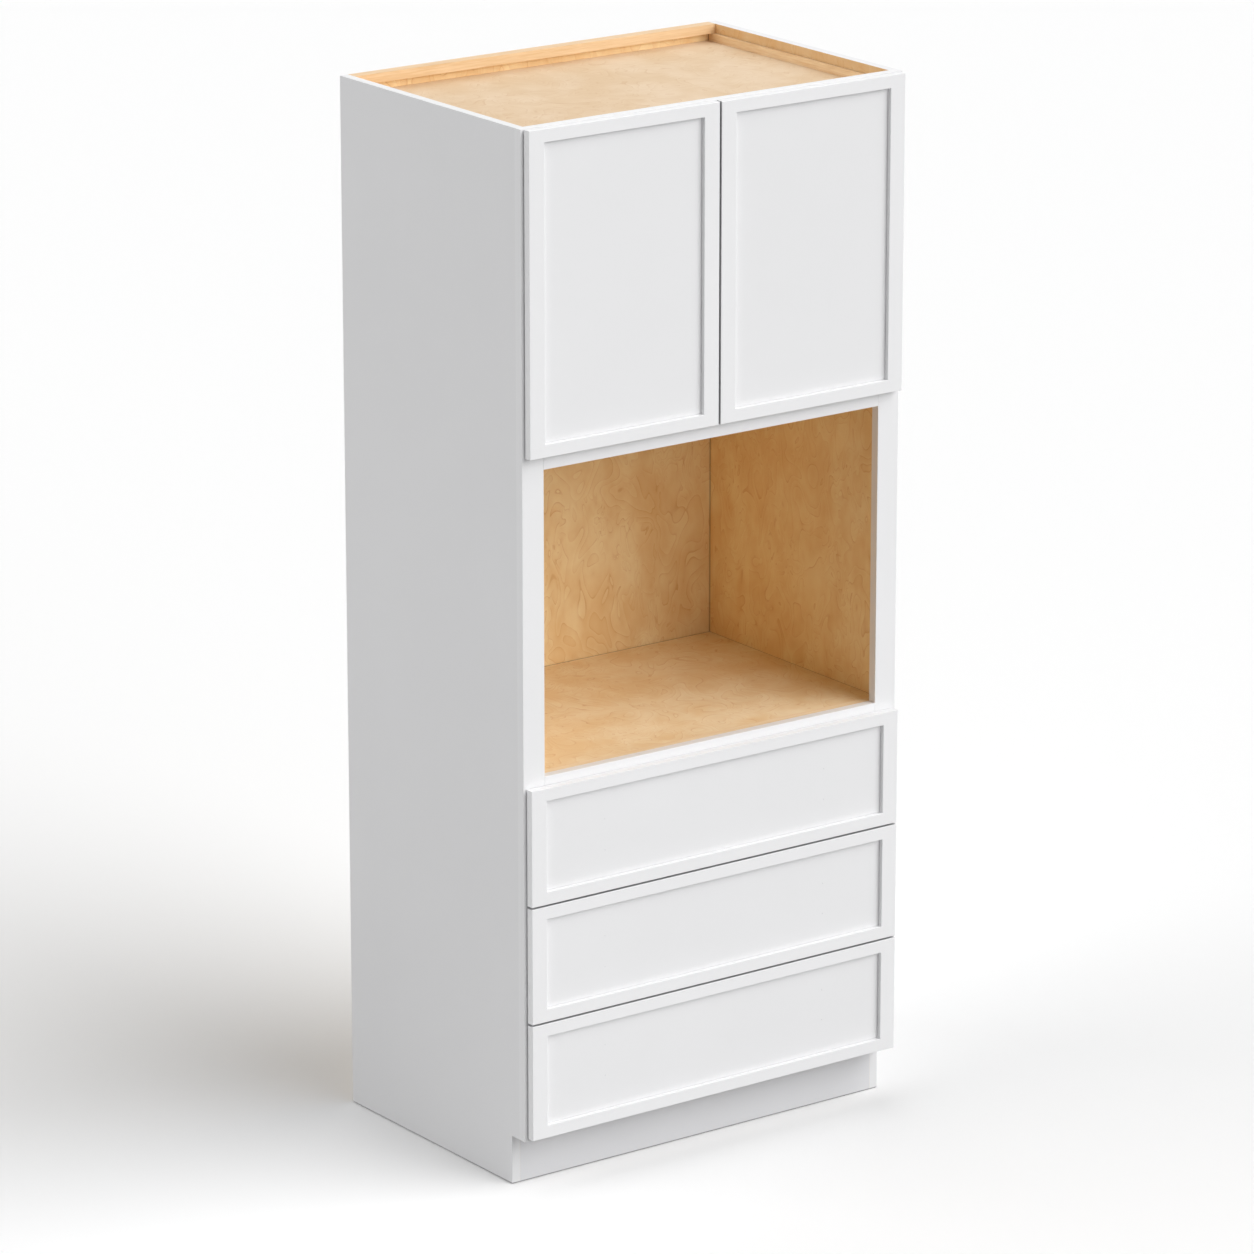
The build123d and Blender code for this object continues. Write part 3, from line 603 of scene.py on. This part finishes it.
for name, node in nodes.items():
    node.data.materials.clear()
    node.data.materials.append(by_name.get(name, by_slot[slot_of[name]]))
print("dressed:", len(nodes))

# %% [markdown]
# ## Small fittings
# Screws, shelf pins and bumpers are plain rods in the CAD. Each is now modelled once, pointing up at the
# origin, and copied to every place. The places come from the CAD node that the fitting stands for: a
# merged copy of its mesh falls apart into islands, one for each rod, and each island has a box.


# %% Places of the CAD rods
def islands(node_name):
    """The lowest and highest corner of each separate solid in a CAD node."""
    merged = bmesh.new()
    merged.from_mesh(nodes[node_name].data)
    bmesh.ops.remove_doubles(merged, verts=merged.verts, dist=0.01 * MM)
    left_over = set(merged.verts)
    boxes = []
    while left_over:
        reached = [left_over.pop()]
        for vert in reached:
            near = {edge.other_vert(vert) for edge in vert.link_edges} & left_over
            left_over -= near
            reached.extend(near)
        points = [vert.co for vert in reached]
        boxes.append((Vector([min(p[axis] for p in points) for axis in range(3)]),
                      Vector([max(p[axis] for p in points) for axis in range(3)])))
    merged.free()
    return sorted(boxes, key=lambda corners: tuple(round(v, 5) for v in corners[0]))


print("slide screws:", len(islands("slide_screws")), "hinge screws:", len(islands("hinge_arm_screws")))

# %% [markdown]
# An operator acts on whatever is selected, and the loaded nodes are, so every new piece starts by
# deselecting all. Its place goes into its mesh at once, so that in edit mode the faces and edges can be
# picked by where they are in the room.


# %% Modelling helpers
def start_piece(name, add, **settings):
    """Adds a primitive with nothing else selected, and goes into edit mode."""
    bpy.ops.object.select_all(action="DESELECT")
    add(**settings)
    piece = bpy.context.object
    piece.name = piece.data.name = name
    bpy.ops.object.transform_apply(location=True, rotation=True, scale=True)
    bpy.ops.object.mode_set(mode="EDIT")
    return piece


def pick(piece, kind, wanted):
    """In edit mode, selects only those faces or edges for whose middle and self wanted() is true."""
    bpy.ops.mesh.select_mode(type=kind)
    bpy.ops.mesh.select_all(action="DESELECT")
    shape = bmesh.from_edit_mesh(piece.data)
    shape.normal_update()
    for part in shape.faces if kind == "FACE" else shape.edges:
        middle = sum((vert.co for vert in part.verts), Vector()) / len(part.verts)
        if wanted(middle, part):
            part.select_set(True)
    bmesh.update_edit_mesh(piece.data)


def round_picked(offset, segments):
    """Rounds the picked edges."""
    bpy.ops.mesh.bevel(offset=offset, segments=segments, profile=0.5, affect="EDGES")


def pull_out(*way):
    """Extrudes what is picked, a way along the three axes."""
    bpy.ops.mesh.extrude_region_move(TRANSFORM_OT_translate={"value": way})


def close_up(piece):
    """Leaves edit mode with merged points and outward faces."""
    bpy.ops.mesh.select_all(action="SELECT")
    bpy.ops.mesh.remove_doubles(threshold=0.005 * MM)
    bpy.ops.mesh.normals_make_consistent(inside=False)
    bpy.ops.object.mode_set(mode="OBJECT")


def join_pieces(name, pieces):
    """Joins pieces into the first one, and smooths all but the sharp edges."""
    bpy.ops.object.select_all(action="DESELECT")
    for piece in pieces:
        piece.select_set(True)
    bpy.context.view_layer.objects.active = pieces[0]
    if len(pieces) > 1:
        bpy.ops.object.join()
    bpy.ops.object.shade_smooth_by_angle(angle=math.radians(35))
    joined = bpy.context.object
    joined.name = joined.data.name = name
    return joined


# %% [markdown]
# A copy gets its place from a matrix, which then goes into its mesh, and it rides on the body that
# carries it. Where it stands for a CAD node, that node is hidden.


# %% Placing helpers
def set_copy(model, name, place, body, finish, stands_for=None):
    """A copy of a model with its own mesh, placed in its mesh, that rides on a body."""
    bpy.ops.object.select_all(action="DESELECT")
    model.select_set(True)
    bpy.context.view_layer.objects.active = model
    bpy.ops.object.duplicate(linked=False)
    piece = bpy.context.object
    piece.name = piece.data.name = name
    piece.matrix_world = place
    bpy.ops.object.transform_apply(location=True, rotation=True, scale=True)
    piece.data.materials.clear()
    piece.data.materials.append(finish)
    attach(piece, body)
    if stands_for:
        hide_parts(stands_for)
    return piece


def pointing(place, direction, turn=0.0):
    """The matrix that sets an upright model at a place, pointing in a direction, turned on its axis."""
    lean = Vector((0, 0, 1)).rotation_difference(Vector(direction)).to_matrix().to_4x4()
    return Matrix.Translation(place) @ lean @ Matrix.Rotation(math.radians(turn), 4, "Z")


# %% [markdown]
# ### Screws
# A chipboard screw has a domed pan head with a cross recess, and a coarse thread that stands up from a
# thin core. The head starts as a low cylinder whose upper rim is bevelled almost over its full height.
# The recess is cut by a cross that narrows downwards, as the tip of a screwdriver does. For the thread,
# a small triangle is swept round and down the core by the Screw modifier, which is how a thread is cut.

# %% Screw head
HEAD_RADIUS = 3.5 * MM
HEAD_HEIGHT = 1.2 * MM
HEAD_ROUND = 0.85 * MM
SHANK = 14.0 * MM
TIP = 3.0 * MM
TIP_WIDTH = 0.12
CORE_RADIUS = 1.35 * MM

head = start_piece("screw_head", bpy.ops.mesh.primitive_cylinder_add, vertices=32, radius=HEAD_RADIUS,
                   depth=HEAD_HEIGHT, location=(0, 0, HEAD_HEIGHT / 2))
pick(head, "EDGE", lambda middle, edge: all(vert.co.z > HEAD_HEIGHT / 2 for vert in edge.verts))
round_picked(HEAD_ROUND, 5)
pick(head, "FACE", lambda middle, face: face.normal.z < -0.99)
bpy.ops.mesh.inset(thickness=HEAD_RADIUS - CORE_RADIUS)
pull_out(0, 0, TIP - SHANK)
pull_out(0, 0, -TIP)
bpy.ops.transform.resize(value=(TIP_WIDTH, TIP_WIDTH, 1.0))
close_up(head)
print("head and core:", len(head.data.polygons), "faces")

# %% Cross recess
ARM_WIDTH = 0.9 * MM
ARM_LENGTH = 1.35 * MM
CUTTER_TOP = HEAD_HEIGHT + 0.2 * MM
CUTTER_DEPTH = 1.1 * MM
CUTTER_TAPER = 0.55

cross = start_piece("cross_cutter", bpy.ops.mesh.primitive_plane_add, size=ARM_WIDTH,
                    location=(0, 0, CUTTER_TOP))
for x, y in ((1, 0), (-1, 0), (0, 1), (0, -1)):
    rim = Vector((x * ARM_WIDTH / 2, y * ARM_WIDTH / 2, CUTTER_TOP))
    pick(cross, "EDGE", lambda middle, edge: (middle - rim).length < 0.01 * MM)
    pull_out(x * ARM_LENGTH, y * ARM_LENGTH, 0)
bpy.ops.mesh.select_all(action="SELECT")
pull_out(0, 0, -CUTTER_DEPTH)
bpy.ops.transform.resize(value=(CUTTER_TAPER, CUTTER_TAPER, 1.0))
close_up(cross)

bpy.ops.object.select_all(action="DESELECT")
head.select_set(True)
bpy.context.view_layer.objects.active = head
cut = head.modifiers.new("Recess", "BOOLEAN")
cut.object = cross
cut.operation = "DIFFERENCE"
cut.solver = "EXACT"
bpy.ops.object.modifier_apply(modifier=cut.name)
bpy.data.objects.remove(cross)
print("with its recess:", len(head.data.polygons), "faces")

# %% Thread
THREAD_RADIUS = 0.42 * MM
THREAD_PLACE = (CORE_RADIUS + 0.15 * MM, 0, -3.0 * MM)
THREAD_PITCH = 1.8 * MM
THREAD_TURNS = 5

ridge = start_piece("screw_thread", bpy.ops.mesh.primitive_circle_add, vertices=3, radius=THREAD_RADIUS,
                    location=THREAD_PLACE, rotation=(math.radians(90), math.radians(90), 0))
bpy.ops.object.mode_set(mode="OBJECT")
sweep = ridge.modifiers.new("Thread", "SCREW")
sweep.axis = "Z"
sweep.steps = sweep.render_steps = 14
sweep.iterations = THREAD_TURNS
sweep.screw_offset = -THREAD_PITCH
bpy.ops.object.modifier_apply(modifier=sweep.name)
bpy.ops.object.mode_set(mode="EDIT")
close_up(ridge)
screw = join_pieces("pan_head_screw", [head, ridge])
print("screw:", len(screw.data.polygons), "faces,", round(screw.dimensions.z / MM, 1), "mm long")

# %% [markdown]
# The same screw holds the slides, the hinge wings, the hinge cups and, from inside, the drawer fronts.
# On the slides and wings it takes the place of a CAD rod. No two screws stop at the same angle, so each
# copy is turned a little further than the one before. The hinge-cup screws are one size smaller.

# %% Screws of the slides and hinge wings
NEXT_TURN = 47
CAD_SCREWS = {"slide_screws": ("slide_screw", "zinc_steel", zinc),
              "hinge_arm_screws": ("hinge_wing_screw", "nickel_steel", nickel)}
number = 0
for node_name, (prefix, slot_name, finish) in CAD_SCREWS.items():
    for low, high in islands(node_name):
        inwards = 1 if low.x < 0 else -1
        face = high.x - HEAD_HEIGHT if low.x < 0 else low.x + HEAD_HEIGHT
        place = Vector((face, (low.y + high.y) / 2, (low.z + high.z) / 2))
        set_copy(screw, f"{prefix}_{number + 1:02d}", pointing(place, (inwards, 0, 0), number * NEXT_TURN),
                 "cabinet", finish, node_name)
        number += 1
print("screws in place of CAD rods:", number)

# %% Screws of the hinge cups
CUP_RADIUS = 12.7 * MM
CUP_SCREW_SPACING = 34.0 * MM
NEXT_CUP_TURN = 61
NEXT_SCREW_TURN = 35
smaller = Matrix.Diagonal((0.85, 0.85, 0.75, 1.0))
for side in ("left", "right"):
    for number, (low, high) in enumerate(islands(side + "_hinge_cups")):
        x = low.x + CUP_RADIUS if side == "left" else high.x - CUP_RADIUS
        for step, up in enumerate((-1, 1)):
            place = Vector((x, high.y, (low.z + high.z) / 2 + up * CUP_SCREW_SPACING / 2))
            set_copy(screw, f"{side}_cup_screw_{number * 2 + step + 1}",
                     pointing(place, (0, 1, 0), number * NEXT_CUP_TURN + step * NEXT_SCREW_TURN) @ smaller,
                     side + "_door", nickel)
print("cup screws are", CUP_SCREW_SPACING / MM, "mm apart")

# %% [markdown]
# The screws of the drawer fronts go through the thick front wall of the box, so their shank is pulled
# out to nearly twice its length. Their heads are seen when a drawer is open, two low and two high.

# %% Screws of the drawer fronts
NECK = -2 * MM
STRETCH = 1.9
SCREWS_X = 270 * MM
SCREW_SHARES = (0.32, 0.74)
NEXT_FRONT_TURN = 53

long_screw = set_copy(screw, "long_screw", Matrix.Identity(4), "cabinet", zinc)
bpy.ops.object.mode_set(mode="EDIT")
bpy.ops.mesh.select_mode(type="VERT")
bpy.ops.mesh.select_all(action="DESELECT")
shape = bmesh.from_edit_mesh(long_screw.data)
for vert in shape.verts:
    vert.select_set(vert.co.z < NECK)
bmesh.update_edit_mesh(long_screw.data)
bpy.ops.transform.resize(value=(1.0, 1.0, STRETCH), center_override=(0, 0, NECK))
bpy.ops.object.mode_set(mode="OBJECT")

for drawer in DRAWERS:
    low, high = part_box(drawer + "_drawer_box")
    places = [(x, share) for share in SCREW_SHARES for x in (-SCREWS_X, SCREWS_X)]
    for number, (x, share) in enumerate(places):
        place = Vector((x, low.y + BOX_WALL, low.z + (high.z - low.z) * share))
        set_copy(long_screw, f"{drawer}_drawer_front_screw_{number + 1}",
                 pointing(place, (0, 1, 0), number * NEXT_FRONT_TURN + low.z / MM),
                 drawer + "_drawer", zinc)
bpy.data.objects.remove(screw)
bpy.data.objects.remove(long_screw)

# %% [markdown]
# ### Bumpers
# A clear bumper sits in the free corners at the back of each door and takes up the gap to the frame. It is
# poured as a drop of soft resin on a thin disc of glue film, so its rim is steep and its top is a dome.

# %% Bumper
FILM_SHARE = 0.93
FILM_DEPTH = 0.15 * MM
low, high = islands("left_door_bumpers")[0]
BUMPER_RADIUS = (high.x - low.x) / 2
BUMPER_HEIGHT = high.y - low.y

drop = start_piece("bumper", bpy.ops.mesh.primitive_cylinder_add, vertices=40, radius=BUMPER_RADIUS,
                   depth=BUMPER_HEIGHT, location=(0, 0, BUMPER_HEIGHT / 2))
pick(drop, "EDGE", lambda middle, edge: all(vert.co.z > BUMPER_HEIGHT / 2 for vert in edge.verts))
round_picked(0.75 * BUMPER_HEIGHT, 8)
pick(drop, "FACE", lambda middle, face: face.normal.z < -0.99)
pull_out(0, 0, 0)
bpy.ops.transform.resize(value=(FILM_SHARE, FILM_SHARE, 1.0))
pull_out(0, 0, FILM_DEPTH)
close_up(drop)
bumper = join_pieces("bumper", [drop])
for side in ("left", "right"):
    for number, (low, high) in enumerate(islands(side + "_door_bumpers")):
        place = Vector(((low.x + high.x) / 2, low.y, (low.z + high.z) / 2))
        set_copy(bumper, f"{side}_bumper_{number + 1}", pointing(place, (0, 1, 0)),
                 side + "_door", rubber, side + "_door_bumpers")
bpy.data.objects.remove(bumper)
print("bumper:", round(BUMPER_RADIUS / MM, 2), "mm radius,", round(BUMPER_HEIGHT / MM, 2), "mm high")

# %% [markdown]
# ### Shelf pins
# The shelf rests on four plated pins of the kind with a spoon: a round pin with a chamfered end goes into
# the hole, a collar stops it at the board, and a flat rounded tongue with a rib below carries the shelf.
# The collar is cut level with the tongue, so the shelf can lie flat on it.

# %% Shelf pin
COLLAR_RADIUS = 4.6 * MM
COLLAR = 1.0 * MM
TONGUE = 1.5 * MM
TONGUE_WIDTH = 8.4 * MM
RIB = 1.6 * MM
PEG_CHAMFER = 0.6 * MM
TONGUE_ROUND = 3.4 * MM
RIB_ROUND = 1.6 * MM
low, high = islands("shelf_pins")[0]
PIN_RADIUS = (high.z - low.z) / 2
HOLE_DEPTH = -SIDE_INNER - low.x
REACH = high.x + SIDE_INNER

peg = start_piece("pin_peg", bpy.ops.mesh.primitive_cylinder_add, vertices=28, radius=PIN_RADIUS,
                  depth=HOLE_DEPTH, location=(-HOLE_DEPTH / 2, 0, 0), rotation=(0, math.radians(-90), 0))
pick(peg, "EDGE", lambda middle, edge: all(vert.co.x < -HOLE_DEPTH / 2 for vert in edge.verts))
round_picked(PEG_CHAMFER, 2)
close_up(peg)

collar = start_piece("pin_collar", bpy.ops.mesh.primitive_cylinder_add, vertices=36, radius=COLLAR_RADIUS,
                     depth=COLLAR, location=(COLLAR / 2, 0, 0), rotation=(0, math.radians(90), 0))
bpy.ops.mesh.select_all(action="SELECT")
bpy.ops.mesh.bisect(plane_co=(0, 0, PIN_RADIUS), plane_no=(0, 0, 1), use_fill=True, clear_outer=True)
close_up(collar)

tongue = start_piece("pin_tongue", bpy.ops.mesh.primitive_cube_add, size=1.0,
                     location=(REACH / 2, 0, PIN_RADIUS - TONGUE / 2), scale=(REACH, TONGUE_WIDTH, TONGUE))
pick(tongue, "EDGE", lambda middle, edge: middle.x > REACH * 0.99 and abs(middle.y) > TONGUE_WIDTH * 0.48)
round_picked(TONGUE_ROUND, 7)
close_up(tongue)

rib = start_piece("pin_rib", bpy.ops.mesh.primitive_cube_add, size=1.0,
                  location=(REACH * 0.4, 0, 0), scale=(REACH * 0.8, RIB, 2 * (PIN_RADIUS - TONGUE)))
pick(rib, "EDGE", lambda middle, edge: middle.x > REACH * 0.79 and middle.z < -0.5 * MM)
round_picked(RIB_ROUND, 4)
close_up(rib)
print("shelf pins reach", round(REACH / MM, 1), "mm under the shelf")

# %% Set the shelf pins
shelf_pin = join_pieces("shelf_pin", [peg, collar, tongue, rib])
round_off = shelf_pin.modifiers.new("Edges", "BEVEL")
round_off.width = 0.2 * MM
round_off.segments = 2
round_off.limit_method = "ANGLE"
bpy.ops.object.modifier_apply(modifier=round_off.name)
for number, (low, high) in enumerate(islands("shelf_pins")):
    on_left = low.x < 0
    place = Vector((-SIDE_INNER if on_left else SIDE_INNER, (low.y + high.y) / 2, (low.z + high.z) / 2))
    turned = Matrix.Rotation(0 if on_left else math.pi, 4, "Z")
    set_copy(shelf_pin, f"shelf_pin_{number + 1}", Matrix.Translation(place) @ turned, "cabinet",
             nickel, "shelf_pins")
bpy.data.objects.remove(shelf_pin)
print("shelf pins:", number + 1)

# %% [markdown]
# ## Floor and backdrop
# The photograph stands on seamless white paper. The paper is only as white as that for the eye of the
# camera. For light that bounces, it is a mid grey, so it doesn't flood the cabinet from below, and the
# recesses and the foot keep their shade. The world does the same: white where it is seen, and a faint even
# glow where it only lights.


# %% Floor and world
def seen_directly(tree):
    """1 for the camera, and for what shines through glass or mirrors in metal."""
    path = add_node(tree, "LightPath").outputs
    first = add_node(tree, "Math", {0: path["Is Camera Ray"], 1: path["Is Glossy Ray"]}, operation="MAXIMUM")
    return add_node(tree, "Math", {0: first.outputs[0], 1: path["Is Transmission Ray"]},
                    operation="MAXIMUM").outputs[0]


FLOOR_REACH = 60.0
PAPER_SEEN = [0.98, 0.98, 0.98, 1.0]
PAPER_BOUNCE = linear("#A8A8A8")
AMBIENT = 0.02

bpy.ops.object.select_all(action="DESELECT")
bpy.ops.mesh.primitive_plane_add(size=FLOOR_REACH, location=(0, 0, 0))
floor = bpy.context.object
floor.name = floor.data.name = "Studio_floor"
paper = bpy.data.materials.new("Seamless_white_paper")
paper.use_nodes = True
tree = paper.node_tree
tree.nodes.clear()
colour = add_node(tree, "Mix", {0: seen_directly(tree), 6: PAPER_BOUNCE, 7: PAPER_SEEN}, data_type="RGBA")
sheet = add_node(tree, "BsdfDiffuse", {"Color": colour.outputs[2]})
add_node(tree, "OutputMaterial", {"Surface": sheet.outputs[0]})
floor.data.materials.append(paper)

world = bpy.data.worlds.new("Studio")
bpy.context.scene.world = world
world.use_nodes = True
tree = world.node_tree
tree.nodes.clear()
glow = add_node(tree, "MapRange", {"Value": seen_directly(tree), 3: AMBIENT, 4: 1.0})
sky = add_node(tree, "Background", {"Color": [1.0, 1.0, 1.0, 1.0], "Strength": glow.outputs[0]})
add_node(tree, "OutputWorld", {"Surface": sky.outputs[0]})
print("floor reaches", FLOOR_REACH / 2, "m each way")

# %% [markdown]
# ## Light
# White furniture needs light that tells its faces apart without a hard shadow. A broad key comes from in
# front, a little to the right and not very high, so that it reaches to the back of the oven space and makes
# the fronts the brightest upright faces. Two lamps on the left, one low and one from a little behind, keep
# the shaded side from going grey. A low one in front lifts what lies under the roof of the oven space. A
# weak one overhead and one from behind light the floor and the top. Together they give a level top face
# just about the light of plain white, so white edges don't burn out. Sun lamps with wide angles act like
# very large softboxes: shade gathers softly in corners, and the whole floor is lit evenly.

# %% Lamps
LAMPS = {
    "Key": {"azimuth": 38, "height": 38, "energy": 2.76, "angle": 60},
    "Low_front": {"azimuth": 4, "height": 15, "energy": 0.52, "angle": 40},
    "Low_left": {"azimuth": -90, "height": 15, "energy": 0.36, "angle": 40},
    "Rear_left": {"azimuth": -115, "height": 25, "energy": 1.12, "angle": 50},
    "Overhead_right": {"azimuth": 90, "height": 75, "energy": 0.15, "angle": 40},
    "Behind": {"azimuth": 180, "height": 60, "energy": 0.64, "angle": 50},
}


def soft_sun(name, azimuth, height, energy, angle):
    """A broad lamp. Azimuth 0 is in front and 90 on the right, height is above the floor, in degrees."""
    turn, tilt = math.radians(azimuth), math.radians(height)
    toward = Vector((math.sin(turn) * math.cos(tilt), -math.cos(turn) * math.cos(tilt), math.sin(tilt)))
    lamp_data = bpy.data.lights.new(name, "SUN")
    lamp_data.energy = energy
    lamp_data.angle = math.radians(angle)
    lamp = bpy.data.objects.new(name, lamp_data)
    bpy.context.scene.collection.objects.link(lamp)
    lamp.rotation_euler = toward.to_track_quat("Z", "Y").to_euler()
    print(name, "comes from", [round(v, 2) for v in toward])


for name, settings in LAMPS.items():
    soft_sun(name, **settings)

# %% [markdown]
# ## Camera
# The camera was found by fitting the edges of the real sizes to the edges in the photograph. It stands
# far away with a long lens, which is why the cabinet's uprights stay almost parallel.

# %% Camera
CAMERA_PLACE = (-7.420, -10.182, 4.781)
CAMERA_YAW = 36.105
CAMERA_PITCH = 16.675
LENS = 188.78
camera_data = bpy.data.cameras.new("Camera")
camera_data.lens = LENS
camera_data.sensor_width = 36.0
camera_data.clip_end = 200.0
camera = bpy.data.objects.new("Camera", camera_data)
bpy.context.scene.collection.objects.link(camera)
camera.location = CAMERA_PLACE
camera.rotation_euler = (math.radians(90 - CAMERA_PITCH), 0, -math.radians(CAMERA_YAW))
bpy.context.scene.camera = camera
bpy.context.scene.view_settings.view_transform = "Standard"
print("lens:", LENS, "mm")
